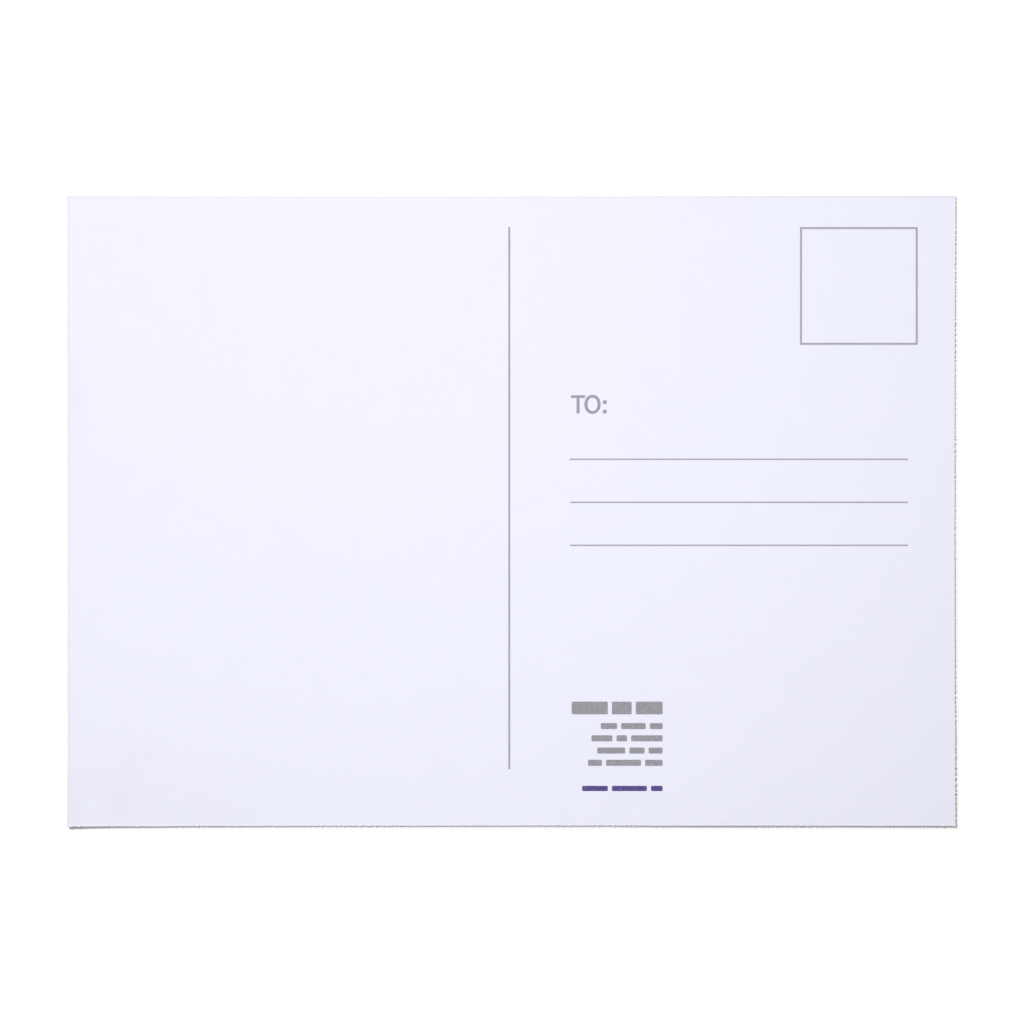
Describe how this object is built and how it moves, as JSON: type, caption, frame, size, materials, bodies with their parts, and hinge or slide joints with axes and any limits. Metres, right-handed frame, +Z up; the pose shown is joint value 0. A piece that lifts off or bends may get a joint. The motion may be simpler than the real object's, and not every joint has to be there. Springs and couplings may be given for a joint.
{
  "type": "postcard",
  "caption": "Picture postcard of thin laminated board: plain address side with a divider rule, address rules and a square stamp frame, glossy printed picture underneath.",
  "frame": {"origin": "middle of the picture face that lies on the table", "axes": "+X along the long side, with the writing; +Y to the head of the address side, where the stamp goes; +Z up out of the address side"},
  "size_m": [0.1524, 0.108, 0.0004],
  "materials": {
    "clear_varnish": "gloss",
    "picture_ink": "satin",
    "clay_coat": "satin",
    "bleached_paper": "matte",
    "core_paper": "matte",
    "address_ink": "matte"
  },
  "bodies": {
    "root": {"gloss_varnish": "clear_varnish", "picture_ink": "picture_ink", "clay_coat": "clay_coat", "picture_liner": "bleached_paper", "core_ply": "core_paper", "address_liner": "bleached_paper", "divider_rule": "address_ink", "stamp_frame": "address_ink", "address_rule_1": "address_ink", "address_rule_2": "address_ink", "address_rule_3": "address_ink"}
  },
  "joints": []
}
